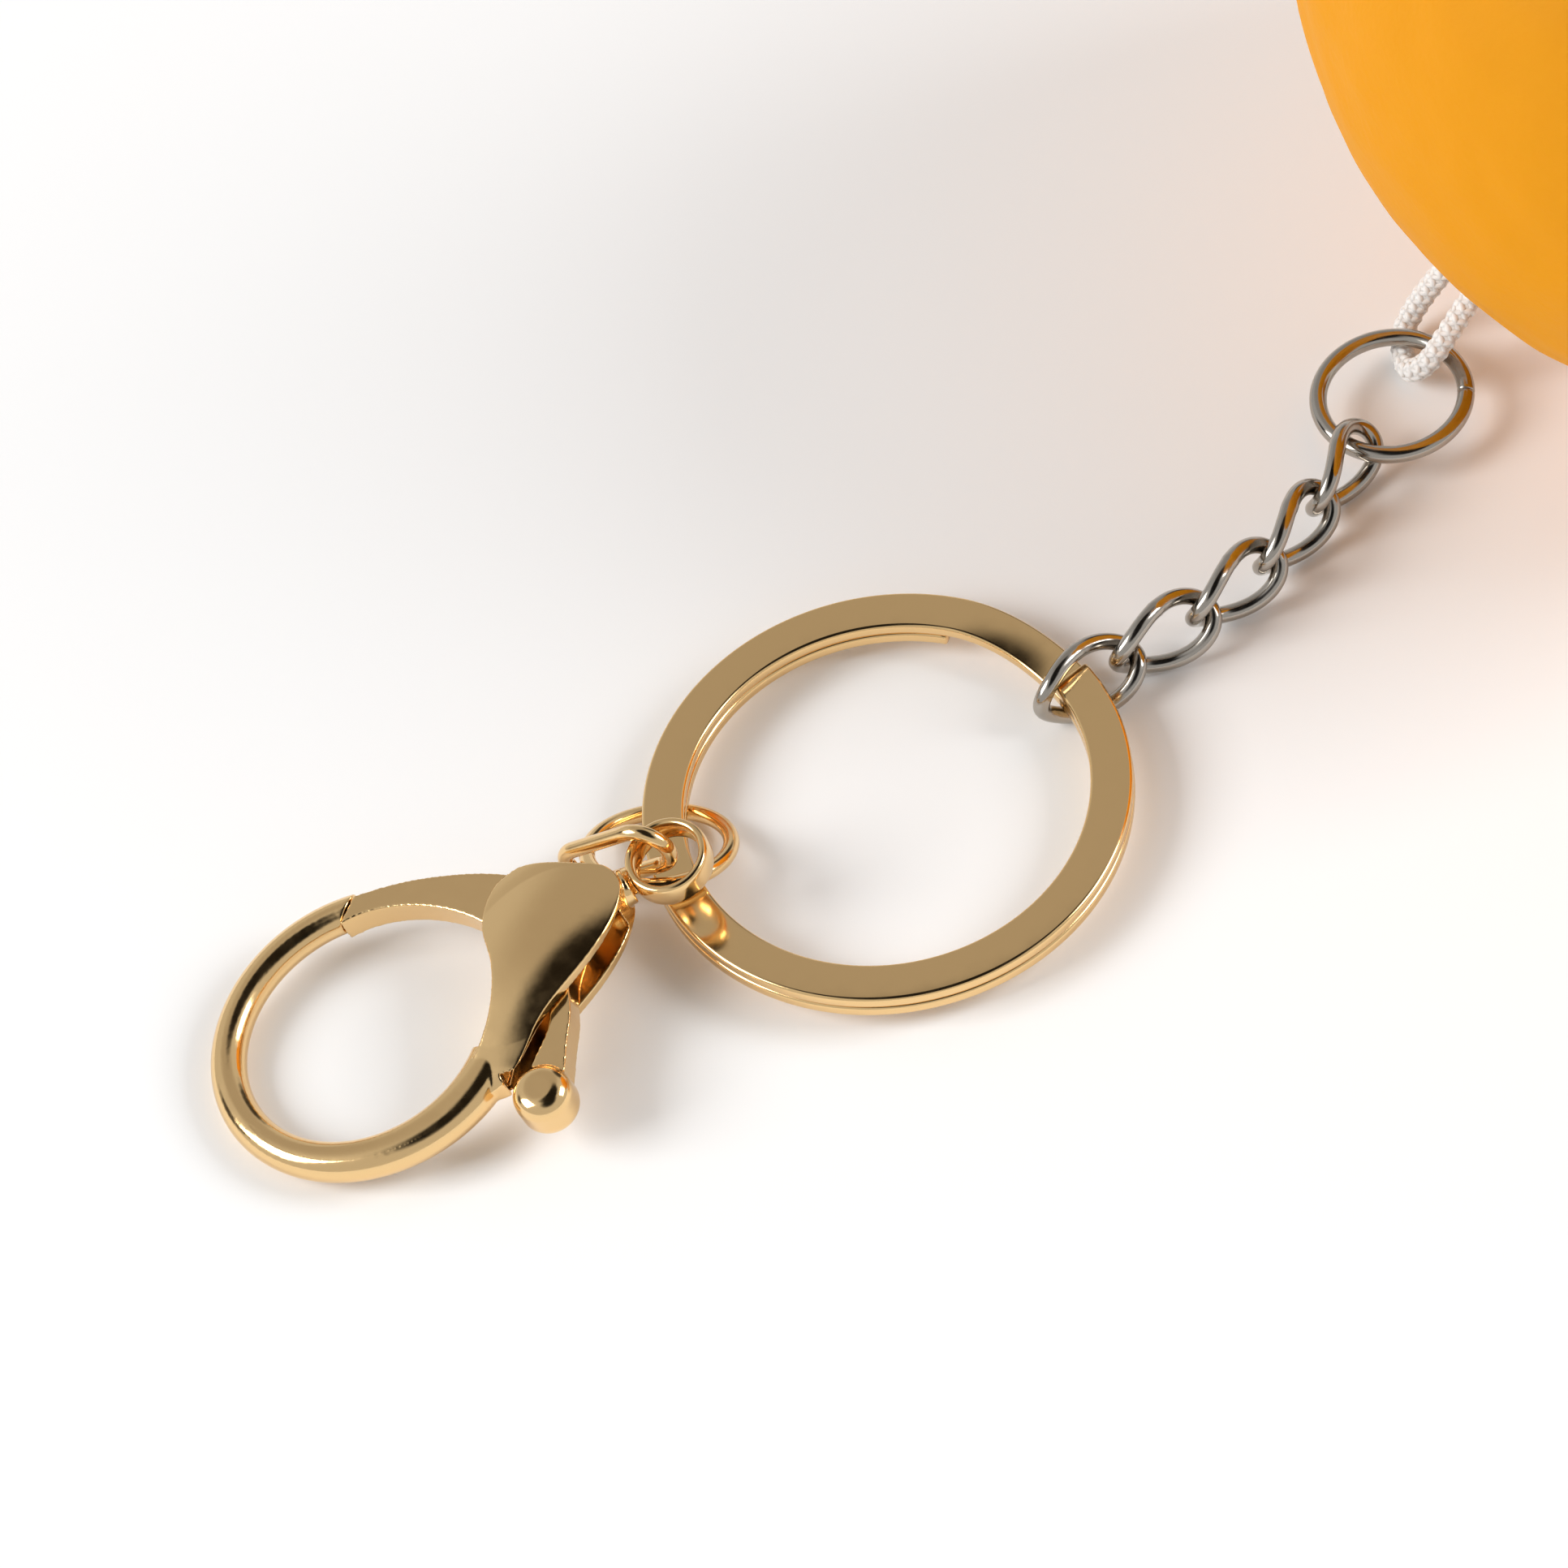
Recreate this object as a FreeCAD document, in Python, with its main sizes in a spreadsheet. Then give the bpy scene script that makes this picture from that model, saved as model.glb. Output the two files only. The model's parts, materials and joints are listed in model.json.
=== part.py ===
"""Keychain: lobster clasp, two gold links, flat split ring, five curb links, jump ring, cord and soft ball.

Millimetres, +Z up, standing plane at z = 0. The origin is on that plane, under the split ring's centre.
The clasp lies towards -X with its swivel end up on the split ring. The chain runs towards +X and +Y.
"""
import FreeCAD, Part
import math
import os

from FreeCAD import Placement, Rotation, Vector

doc = FreeCAD.newDocument("keychain")
sheet = doc.addObject("Spreadsheet::Sheet", "dimensions")

DIMENSIONS = {
    # split ring: flat wire wound twice
    "ring_dia": 30.0,
    "ring_band": 2.6,
    "ring_turn": 0.85,
    "ring_slit": 0.06,
    "ring_base": 1.36,
    "ring_round": 0.22,
    # gold round link through the split ring
    "loop_dia": 9.8,
    "loop_wire": 1.0,
    "loop_seam": 0.12,
    # gold oval link between the round link and the swivel eye
    "oval_length": 9.1,
    "oval_width": 4.3,
    "oval_wire": 1.0,
    # swivel eye
    "eye_dia": 5.3,
    "eye_bore": 4.0,
    "eye_height": 1.8,
    "stem_dia": 1.3,
    "stem_head_dia": 2.0,
    "stem_head_start": 4.15,
    "stem_head_end": 5.0,
    "stem_gap": 0.05,
    # clasp casting
    "cheek_half": 2.25,
    "cheek_reach": 9.6,
    "cheek_spread": 6.6,
    "slot_half": 1.05,
    "hook_wire": 2.15,
    "hook_root": 3.0,
    "nose_dia": 2.35,
    "nose_start": 2.8,
    # gate lever, its pin and its spring
    "gate_half": 0.97,
    "hub_dia": 4.0,
    "pivot_along": 8.6,
    "pivot_across": 0.6,
    "pin_dia": 1.5,
    "pin_gap": 0.04,
    "pin_low": -2.1,
    "pin_high": 1.75,
    "knob_dia": 3.7,
    "knob_height": 3.4,
    "knob_along": 13.25,
    "knob_across": 10.2,
    "spring_dia": 2.24,
    "spring_wire": 0.3,
    "spring_turns": 2.0,
    "spring_rise": 0.72,
    "spring_foot": 0.01,
    "spring_room_dia": 2.5,
    "spring_room_floor": -0.25,
    # curb chain
    "curb_length": 7.8,
    "curb_width": 5.05,
    "curb_wire": 1.05,
    "curb_twist": 38.0,
    # jump ring at the chain's end
    "jump_dia": 10.3,
    "jump_wire": 1.1,
    "jump_level": 2.4,
    # cord and charm
    "cord_dia": 1.5,
    "ball_dia": 63.5,
    "ball_foot_dia": 14.0,
    "cord_hole_dia": 4.6,
    "cord_hole_depth": 13.0,
    "knot_dia": 6.0,
    "knot_room_dia": 6.6,
}

for row, (alias, value) in enumerate(DIMENSIONS.items(), start=1):
    sheet.set(f"A{row}", alias)
    sheet.set(f"B{row}", str(value))
    sheet.setAlias(f"B{row}", alias)
doc.recompute()


def size(alias):
    """A driving dimension, read back from the sheet."""
    return float(sheet.get(alias))


def bind(item, **links):
    """Bind properties of a document object to expressions on the sheet."""
    for prop, expression in links.items():
        item.setExpression(prop, expression)
    return item


def primitive(kind, name, **links):
    """A Part primitive whose sizes follow the sheet."""
    return bind(doc.addObject(f"Part::{kind}", name), **links)


def boolean(kind, name, base, tool):
    """A Part::Cut, Part::Common or two-piece Part::Fuse feature."""
    item = doc.addObject(f"Part::{kind}", name)
    item.Base = base
    item.Tool = tool
    return item


def feature(name, shape, placement=Placement()):
    """A Part::Feature for a swept or lofted piece that no primitive gives."""
    item = doc.addObject("Part::Feature", name)
    item.Shape = shape
    item.Placement = placement
    return item


def axes(origin, along, up):
    """Placement whose local X runs along one direction and whose local Z leans to another."""
    side = up.cross(along)
    return Placement(origin, Rotation(along, side, up, "XZY"))


def heading(degrees, climb=0.0):
    """Unit direction from a heading about +Z and a climb above the standing plane."""
    turn = math.radians(degrees)
    rise = math.radians(climb)
    return Vector(math.cos(rise) * math.cos(turn), math.cos(rise) * math.sin(turn), math.sin(rise))


def polar(radius, degrees, level=0.0):
    """Point at a radius and angle about +Z."""
    turn = math.radians(degrees)
    return Vector(radius * math.cos(turn), radius * math.sin(turn), level)


def smooth_wire(points, closed=False):
    """Spline through a few points."""
    curve = Part.BSplineCurve()
    curve.interpolate(points, PeriodicFlag=closed)
    return Part.Wire([curve.toShape()])


def swept(spine, diameter):
    """Round wire swept along an open spine, closed by flat ends."""
    edge = spine.Edges[0]
    start = edge.valueAt(edge.FirstParameter)
    outward = edge.tangentAt(edge.FirstParameter)
    section = Part.Wire([Part.makeCircle(diameter / 2, start, outward)])
    return spine.makePipeShell([section], True, True)


def joined(solids):
    """One solid from pieces that share end faces."""
    whole = solids[0].multiFuse(solids[1:]).removeSplitter()
    return whole.Solids[0]


# ---------------------------------------------------------------- split ring

RAMP_TOP = 60.0
RAMP_FOOT = 24.0
RING_GAP = 1.6


def band_section(angle, level):
    """Rounded flat-wire section standing on a level at one angle of the ring."""
    outer = size("ring_dia") / 2
    inner = outer - size("ring_band")
    height = size("ring_turn")
    bend = size("ring_round")
    corner = bend * (1 - math.sqrt(0.5))

    def at(radius, rise):
        return polar(radius, angle, level + rise)

    straight = [
        (at(inner + bend, 0), at(outer - bend, 0)),
        (at(outer, bend), at(outer, height - bend)),
        (at(outer - bend, height), at(inner + bend, height)),
        (at(inner, height - bend), at(inner, bend)),
    ]
    middle = [
        at(outer - corner, corner),
        at(outer - corner, height - corner),
        at(inner + corner, height - corner),
        at(inner + corner, corner),
    ]
    edges = []
    for index, (start, end) in enumerate(straight):
        following = straight[(index + 1) % len(straight)][0]
        edges.append(Part.LineSegment(start, end).toShape())
        edges.append(Part.Arc(end, middle[index], following).toShape())
    return Part.Wire(edges)


def flat_turn(start, sweep, level):
    """One level stretch of the flat wire, turned about the ring's axis."""
    face = Part.Face(band_section(start, level))
    return face.revolve(Vector(0, 0, 0), Vector(0, 0, 1), sweep)


def make_split_ring():
    """Two turns of flat wire: the upper turn steps down to the lower one over a short ramp."""
    low = size("ring_base")
    high = low + size("ring_turn") + size("ring_slit")
    steps = 6
    sections = []
    for step in range(steps + 1):
        share = step / steps
        ease = share * share * (3 - 2 * share)
        angle = RAMP_TOP + (RAMP_FOOT - RAMP_TOP) * share
        sections.append(band_section(angle, high + (low - high) * ease))
    ramp = Part.makeLoft(sections, True, False)
    upper = flat_turn(RAMP_TOP, 360 - RAMP_TOP + RAMP_FOOT - RING_GAP, high)
    lower = flat_turn(RAMP_TOP + RING_GAP, 360 - RAMP_TOP + RAMP_FOOT - RING_GAP, low)
    return feature("split_ring", joined([upper, ramp, lower]))


# ---------------------------------------------------------------- round wire links


def make_wire_ring(name, prefix, centre, up, seam_heading):
    """Round ring of round wire, bent shut with a narrow seam."""
    torus = primitive(
        "Torus",
        f"{name}_wire",
        Radius1=f"(dimensions.{prefix}_dia - dimensions.{prefix}_wire) / 2",
        Radius2=f"dimensions.{prefix}_wire / 2",
    )
    seam = primitive(
        "Box",
        f"{name}_seam",
        Length=f"dimensions.{prefix}_wire * 3",
        Width="dimensions.loop_seam",
        Height=f"dimensions.{prefix}_wire * 3",
    )
    wire = size(f"{prefix}_wire")
    reach = (size(f"{prefix}_dia") - wire) / 2
    turn = Rotation(Vector(0, 0, 1), seam_heading)
    corner = Vector(reach - 1.5 * wire, -size("loop_seam") / 2, -1.5 * wire)
    seam.Placement = Placement(turn.multVec(corner), turn)
    ring = boolean("Cut", name, torus, seam)
    ring.Placement = Placement(centre, Rotation(Vector(0, 0, 1), up))
    return ring


LOOP_CENTRE = Vector(-14.1, 0.6, 2.4)
LOOP_LEAN = (0.13, 0.44)

OVAL_CENTRE = Vector(-16.65, -1.05, 4.95)
OVAL_HEADING = -29.0
OVAL_CLIMB = 37.0


def make_oval_link():
    """Oval link, bent from one piece of wire: two straight sides and two half-round ends."""
    body = doc.addObject("PartDesign::Body", "gold_oval_link")
    planes = {plane.Role: plane for plane in body.Origin.OriginFeatures}
    path = body.newObject("Sketcher::SketchObject", "oval_path")
    path.AttachmentSupport = (planes["XY_Plane"], [""])
    path.MapMode = "FlatFace"
    half = (size("oval_length") - size("oval_width")) / 2
    radius = (size("oval_width") - size("oval_wire")) / 2
    up = Vector(0, 0, 1)
    path.addGeometry(Part.LineSegment(Vector(-half, -radius, 0), Vector(half, -radius, 0)))
    right = Part.Circle(Vector(half, 0, 0), up, radius)
    path.addGeometry(Part.ArcOfCircle(right, -math.pi / 2, math.pi / 2))
    path.addGeometry(Part.LineSegment(Vector(half, radius, 0), Vector(-half, radius, 0)))
    left = Part.Circle(Vector(-half, 0, 0), up, radius)
    path.addGeometry(Part.ArcOfCircle(left, math.pi / 2, 3 * math.pi / 2))
    section = body.newObject("Sketcher::SketchObject", "oval_section")
    section.AttachmentSupport = (planes["YZ_Plane"], [""])
    section.MapMode = "FlatFace"
    section.addGeometry(Part.Circle(Vector(-radius, 0, 0), up, size("oval_wire") / 2))
    doc.recompute()
    pipe = body.newObject("PartDesign::AdditivePipe", "oval_pipe")
    pipe.Profile = section
    pipe.Spine = (path, [f"Edge{number}" for number in range(1, 5)])
    body.Tip = pipe
    along = heading(OVAL_HEADING, OVAL_CLIMB)
    across = Vector(0, 0, 1).cross(along).normalize()
    body.Placement = Placement(OVAL_CENTRE, Rotation(along, along.cross(across), across, "XZY"))
    return body


# ---------------------------------------------------------------- clasp

EYE_CENTRE = Vector(-13.65, -3.4, 6.5)
CLASP_HEADING = 193.0
CLASP_DROP = 10.4

HOOK_CENTRE = Vector(20.8, -0.5, 0)
HOOK_REACH = 9.0
HOOK_SPREAD = 8.5
HOOK_TIP_ANGLE = -109.0
HOOK_TIP_GAP = 0.1
HOOK_ROOT_ANGLE = 132.0

CHEEK_CENTRE = Vector(9.9, 1.8, 0)
CHEEK_TURN = 26.0
CHEEK_OUTLINE = [
    (3.4, 1.1),
    (5.4, 3.1),
    (8.4, 4.7),
    (11.8, 6.4),
    (15.0, 8.2),
    (17.2, 7.6),
    (15.3, 5.5),
    (13.1, 3.1),
    (12.1, 0.7),
    (11.7, -1.7),
    (10.6, -3.5),
    (8.9, -4.6),
    (6.8, -3.9),
    (4.7, -2.3),
    (3.4, -1.1),
]
SLOT_OUTLINE = [
    (4.05, -7.0),
    (4.05, 9.0),
    (12.0, 14.0),
    (15.0, 9.5),
    (14.9, 7.3),
    (12.9, 4.7),
    (11.7, 2.3),
    (13.5, 0.9),
    (13.5, -7.0),
]
GATE_OUTLINE = [
    (6.6, 0.4),
    (6.9, -1.7),
    (8.6, -4.3),
    (11.7, -6.6),
    (14.5, -8.0),
    (17.7, -9.0),
    (19.2, -7.75),
    (17.3, -7.45),
    (15.1, -6.4),
    (13.1, -4.7),
    (11.6, -2.6),
    (10.7, -0.2),
    (10.5, 2.8),
    (10.6, 5.6),
    (11.6, 7.0),
    (13.4, 9.3),
    (12.4, 10.3),
    (10.7, 8.4),
    (9.4, 6.2),
    (8.3, 3.6),
    (7.0, 2.0),
]
GATE_TIP = 5


def clasp_place():
    """Clasp frame: X from the swivel eye to the hook, Z square to the cheeks."""
    along = heading(CLASP_HEADING, -CLASP_DROP)
    across = Vector(0, 0, 1).cross(along).normalize()
    return Placement(EYE_CENTRE, Rotation(along, across, along.cross(across), "XYZ"))


def plate(outline, half, closed_spline=True):
    """Flat plate of even thickness about the clasp's middle plane."""
    points = [Vector(x, y, -half) for x, y in outline]
    if closed_spline:
        wire = smooth_wire(points, closed=True)
    else:
        wire = Part.makePolygon(points + points[:1])
    return Part.Face(wire).extrude(Vector(0, 0, 2 * half))


def hook_point(angle):
    """Centre line of the hook: a near-round ellipse."""
    turn = math.radians(angle)
    return HOOK_CENTRE + Vector(HOOK_REACH * math.cos(turn), HOOK_SPREAD * math.sin(turn), 0)


def make_hook():
    """Hook of round section, thicker towards its root."""
    steps = 14
    sections = []
    for step in range(steps + 1):
        share = step / steps
        angle = HOOK_TIP_ANGLE + (HOOK_ROOT_ANGLE - HOOK_TIP_ANGLE) * share
        ahead = hook_point(angle + 1) - hook_point(angle - 1)
        swell = size("hook_root") - size("hook_wire")
        diameter = size("hook_wire") + swell * share ** 2.5
        sections.append(Part.Wire([Part.makeCircle(diameter / 2, hook_point(angle), ahead)]))
    return Part.makeLoft(sections, True, False)


def tip_clearance():
    """Room for the gate: everything on its side of a line parallel to the end of its tip."""
    outer, inner = [Vector(x, y, -5) for x, y in GATE_OUTLINE[GATE_TIP:GATE_TIP + 2]]
    along = (inner - outer).normalize()
    away = along.cross(Vector(0, 0, 1)).normalize()
    corners = [inner + along * 3 + away * HOOK_TIP_GAP, outer - along * 3 + away * HOOK_TIP_GAP]
    corners += [corners[1] - away * 6, corners[0] - away * 6]
    return Part.Face(Part.makePolygon(corners + corners[:1])).extrude(Vector(0, 0, 10))


def make_clasp_body():
    """One casting: hook, two domed cheeks with a slot between them, and a drilled nose."""
    dome = Part.makeSphere(1.0)
    stretch = FreeCAD.Matrix()
    stretch.scale(size("cheek_reach"), size("cheek_spread"), size("cheek_half"))
    dome = dome.transformGeometry(stretch)
    dome.Placement = Placement(CHEEK_CENTRE, Rotation(Vector(0, 0, 1), CHEEK_TURN))
    cheeks = plate(CHEEK_OUTLINE, size("cheek_half")).common(dome)
    nose = Part.makeCylinder(size("nose_dia") / 2, 2.2, Vector(size("nose_start"), 0, 0), Vector(1, 0, 0))
    hook = make_hook().cut(tip_clearance())
    whole = joined([cheeks, hook, nose])
    slot = plate(SLOT_OUTLINE, size("slot_half"), closed_spline=False)
    bore = Part.makeCylinder(size("stem_dia") / 2 + size("stem_gap"), 4, Vector(1, 0, 0), Vector(1, 0, 0))
    pivot = Vector(size("pivot_along"), size("pivot_across"), -5)
    pin_hole = Part.makeCylinder(size("pin_dia") / 2, 5 + size("pin_high"), pivot)
    whole = whole.cut(slot).cut(bore).cut(pin_hole)
    return feature("clasp_body", whole.Solids[0], clasp_place())


def make_gate_lever():
    """Gate, hub, trigger tail and knob in one casting."""
    half = size("gate_half")
    points = [Vector(x, y, -half) for x, y in GATE_OUTLINE]
    tip = points[GATE_TIP:GATE_TIP + 2]
    round_part = points[GATE_TIP + 1:] + points[:GATE_TIP + 1]
    edges = smooth_wire(round_part).Edges + [Part.LineSegment(*tip).toShape()]
    blade = Part.Face(Part.Wire(edges)).extrude(Vector(0, 0, 2 * half))
    pivot = Vector(size("pivot_along"), size("pivot_across"), -half)
    hub = Part.makeCylinder(size("hub_dia") / 2, 2 * half, pivot)
    knob_foot = Vector(size("knob_along"), size("knob_across"), -size("knob_height") / 2)
    knob = Part.makeCylinder(size("knob_dia") / 2, size("knob_height"), knob_foot)
    knob = knob.makeFillet(size("knob_dia") * 0.3, [knob.Edges[0], knob.Edges[2]])
    hole = Part.makeCylinder(size("pin_dia") / 2 + size("pin_gap"), 10, pivot - Vector(0, 0, 5))
    room_foot = Vector(pivot.x, pivot.y, size("spring_room_floor"))
    room = Part.makeCylinder(size("spring_room_dia") / 2, 5, room_foot)
    whole = joined([blade, hub, knob]).cut(hole).cut(room)
    return feature("gate_lever", whole.Solids[0], clasp_place())


def make_gate_pin():
    """Plain pin through the hub, pressed into both cheeks."""
    pin = primitive(
        "Cylinder",
        "gate_pin",
        Radius="dimensions.pin_dia / 2",
        Height="dimensions.pin_high - dimensions.pin_low",
    )
    foot = Vector(size("pivot_along"), size("pivot_across"), size("pin_low"))
    pin.Placement = clasp_place().multiply(Placement(foot, Rotation()))
    return pin


def make_gate_spring():
    """Torsion coil of square wire wound round the pin, inside a recess in the lever's hub."""
    radius = (size("spring_dia") - size("spring_wire")) / 2
    steps = 24
    sections = []
    for step in range(steps + 1):
        share = step / steps
        turn = 360 * size("spring_turns") * share
        centre = polar(radius, turn, size("spring_rise") * share)
        outward = polar(size("spring_wire") / 2, turn)
        upward = Vector(0, 0, size("spring_wire") / 2)
        corners = [outward + upward, outward - upward, -outward - upward, upward - outward]
        corners = [centre + corner for corner in corners]
        sections.append(Part.makePolygon(corners + corners[:1]))
    coil = Part.makeLoft(sections, True, False)
    foot = Vector(size("pivot_along"), size("pivot_across"), size("spring_foot"))
    return feature("gate_spring", coil, clasp_place().multiply(Placement(foot, Rotation())))


def make_swivel_eye():
    """Flat eye with a stem that turns in the nose, held by its upset head."""
    disc = primitive("Cylinder", "eye_disc", Radius="dimensions.eye_dia / 2", Height="dimensions.eye_height")
    hole = primitive("Cylinder", "eye_hole", Radius="dimensions.eye_bore / 2", Height="dimensions.eye_height * 2")
    stem = primitive(
        "Cylinder",
        "eye_stem",
        Radius="dimensions.stem_dia / 2",
        Height="dimensions.stem_head_end - dimensions.eye_dia / 2 + 0.2",
    )
    head = primitive(
        "Cylinder",
        "eye_stem_head",
        Radius="dimensions.stem_head_dia / 2",
        Height="dimensions.stem_head_end - dimensions.stem_head_start",
    )
    lay = Rotation(Vector(0, 0, 1), Vector(1, 0, 0))
    disc.Placement = Placement(Vector(0, 0, -size("eye_height") / 2), Rotation())
    hole.Placement = Placement(Vector(0, 0, -size("eye_height")), Rotation())
    stem.Placement = Placement(Vector(size("eye_dia") / 2 - 0.2, 0, 0), lay)
    head.Placement = Placement(Vector(size("stem_head_start"), 0, 0), lay)
    ring = boolean("Cut", "eye_ring", disc, hole)
    shank = boolean("Fuse", "eye_shank", stem, head)
    eye = boolean("Fuse", "swivel_eye", ring, shank)
    eye.Placement = clasp_place()
    return eye


# ---------------------------------------------------------------- curb chain

CHAIN_START = (13.7, 5.0)
CHAIN_HEADINGS = (18, 18, 28, 40, 47)
CHAIN_PITCH = 5.45
CHAIN_LEVEL = 2.31
CHAIN_ARCH = 0.55


def chain_layout():
    """Centre, heading, climb and lean of each link.

    Each link lies one pitch past the last, in the direction halfway between their headings. The chain
    rises and falls in one low arch, and the links lean over less the nearer they are to the ring.
    """
    count = len(CHAIN_HEADINGS)
    x, y = CHAIN_START
    layout = []
    for number, turn in enumerate(CHAIN_HEADINGS):
        if number:
            step = heading((CHAIN_HEADINGS[number - 1] + turn) / 2) * CHAIN_PITCH
            x += step.x
            y += step.y
        level = CHAIN_LEVEL + CHAIN_ARCH * math.sin(math.pi * number / count)
        climb = 2 - 1.75 * number
        lean = 82 - 28 * (max(0, 3 - number) / 3) ** 2
        layout.append((x, y, level, turn, climb, lean))
    return layout


def curb_point(turn):
    """Centre line of a twisted oval: it turns about its long axis from one end to the other."""
    reach = (size("curb_length") - size("curb_wire")) / 2
    spread = (size("curb_width") - size("curb_wire")) / 2
    along = reach * math.cos(turn)
    across = spread * math.sin(turn)
    lean = math.radians(size("curb_twist")) * math.cos(turn)
    return Vector(along, across * math.cos(lean), across * math.sin(lean))


def curb_shape():
    """Closed loft through round sections along the centre line, mirrored to a left-hand twist."""
    steps = 16
    sections = []
    for step in range(steps):
        turn = 2 * math.pi * step / steps
        centre = curb_point(turn)
        ahead = (curb_point(turn + 0.001) - curb_point(turn - 0.001)).normalize()
        inward = Vector(-0.7 * centre.x, -centre.y, -centre.z)
        circle = Part.Circle(centre, ahead, size("curb_wire") / 2)
        circle.XAxis = (inward - ahead * inward.dot(ahead)).normalize()
        sections.append(Part.Wire([circle.toShape()]))
    skin = Part.makeLoft(sections, False, False, True)
    right_handed = Part.Solid(Part.Shell(skin.Faces))
    return right_handed.mirror(Vector(0, 0, 0), Vector(0, 0, 1))


def make_curb_link(number, x, y, z, turn, climb, roll):
    """One twisted link of the chain."""
    along = heading(turn, climb)
    across = Vector(0, 0, 1).cross(along).normalize()
    lay = Rotation(along, across, along.cross(across), "XYZ")
    spin = Rotation(Vector(1, 0, 0), roll)
    place = Placement(Vector(x, y, z), lay.multiply(spin))
    return feature(f"chain_link_{number}", curb_shape(), place)


# ---------------------------------------------------------------- cord and charm

BALL_CENTRE = (66.9, 27.0)
CORD_RISE = heading(12.5, 61.0)
CORD_MOUTH = Vector(44.6, 25.5, 8.4)
CORD_HALF_SPREAD = 1.25
CORD_ROUTE = [
    (38.8, 27.1, 0.85),
    (38.1, 23.1, 0.95),
    (39.2, 21.7, 2.7),
    (40.7, 22.1, 4.5),
]


def rounded_path(points, share=0.45):
    """Straight runs joined by tangent arcs, each arc as large as its two runs allow."""
    edges = []
    start = points[0]
    for before, corner, after in zip(points, points[1:], points[2:]):
        back = before - corner
        ahead = after - corner
        setback = share * min(back.Length, ahead.Length)
        back.normalize()
        ahead.normalize()
        arc_start = corner + back * setback
        arc_end = corner + ahead * setback
        half_angle = back.getAngle(ahead) / 2
        bisector = (back + ahead).normalize()
        radius = setback * math.tan(half_angle)
        middle = corner + bisector * (radius / math.sin(half_angle) - radius)
        edges.append(Part.LineSegment(start, arc_start).toShape())
        edges.append(Part.Arc(arc_start, middle, arc_end).toShape())
        start = arc_end
    edges.append(Part.LineSegment(start, points[-1]).toShape())
    return Part.Wire(edges)


def cord_points():
    """Route of the cord: out of the charm, under the jump ring, back over it and in again."""
    across = CORD_RISE.cross(Vector(0, 0, 1)).normalize() * CORD_HALF_SPREAD
    depth = CORD_RISE * (size("cord_hole_depth") - 1.0)
    left = CORD_MOUTH - across
    right = CORD_MOUTH + across
    middle = [Vector(*point) for point in CORD_ROUTE]
    return [left + depth] + [left] + middle + [right] + [right + depth]


def make_cord():
    """Braided cord, doubled into a loop through the jump ring."""
    return feature("cord_loop", swept(rounded_path(cord_points()), size("cord_dia")))


def make_knot():
    """Knot that ties the cord's ends inside the charm."""
    knot = primitive("Sphere", "cord_knot", Radius="dimensions.knot_dia / 2")
    knot.Placement = Placement(knot_centre(), Rotation())
    return knot


def knot_centre():
    """The knot sits at the end of the cord's hole."""
    return CORD_MOUTH + CORD_RISE * (size("cord_hole_depth") - 1.0 + size("knot_dia") / 2 - 0.1)


def make_charm():
    """Soft ball with a small flat where it rests, a hole for the cord and room for the knot."""
    ball = primitive("Sphere", "ball", Radius="dimensions.ball_dia / 2")
    radius = size("ball_dia") / 2
    foot = size("ball_foot_dia") / 2
    level = math.sqrt(radius * radius - foot * foot)
    ball.Placement = Placement(Vector(*BALL_CENTRE, level), Rotation())
    ground = primitive("Box", "ground", Length="dimensions.ball_dia", Width="dimensions.ball_dia", Height="5")
    ground.Placement = Placement(Vector(BALL_CENTRE[0] - radius, BALL_CENTRE[1] - radius, -5), Rotation())
    mouth = primitive(
        "Cylinder",
        "cord_hole",
        Radius="dimensions.cord_hole_dia / 2",
        Height="dimensions.cord_hole_depth + 12",
    )
    mouth.Placement = Placement(CORD_MOUTH - CORD_RISE * 12, Rotation(Vector(0, 0, 1), CORD_RISE))
    room = primitive("Sphere", "knot_room", Radius="dimensions.knot_room_dia / 2")
    room.Placement = Placement(knot_centre(), Rotation())
    rested = boolean("Cut", "rested_ball", ball, ground)
    drilled = boolean("Cut", "drilled_ball", rested, mouth)
    return boolean("Cut", "charm_ball", drilled, room)


# ---------------------------------------------------------------- assembly and output

loop_up = Vector(LOOP_LEAN[0], LOOP_LEAN[1], 1).normalize()
pieces = [
    make_split_ring(),
    make_wire_ring("gold_round_link", "loop", LOOP_CENTRE, loop_up, 150),
    make_oval_link(),
    make_swivel_eye(),
    make_clasp_body(),
    make_gate_lever(),
    make_gate_pin(),
    make_gate_spring(),
]
for index, link in enumerate(chain_layout(), start=1):
    pieces.append(make_curb_link(index, *link))
jump_centre = Vector(36.65, 20.45, size("jump_level"))
pieces.append(make_wire_ring("jump_ring", "jump", jump_centre, Vector(0, 0, 1), -15))
pieces.append(make_cord())
pieces.append(make_knot())
pieces.append(make_charm())

doc.recompute()
for item in doc.Objects:
    if "Invalid" in item.State or "Error" in item.State:
        raise RuntimeError(f"{item.Name} did not build")
for piece in pieces:
    piece.Label = piece.Name
    if piece.Shape.isNull() or not piece.Shape.isValid():
        raise RuntimeError(f"{piece.Label} has no valid shape")

os.makedirs("parts", exist_ok=True)
for piece in pieces:
    piece.Shape.exportStep(f"parts/{piece.Label}.step")
    print(piece.Label, len(piece.Shape.Solids), round(piece.Shape.Volume, 3))
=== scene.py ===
"""Keychain: detailed pieces, finishes, camera and soft studio light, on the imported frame, in metres."""

import json
import math

import bpy
import numpy as np
from mathutils import Matrix, Vector, noise


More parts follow.
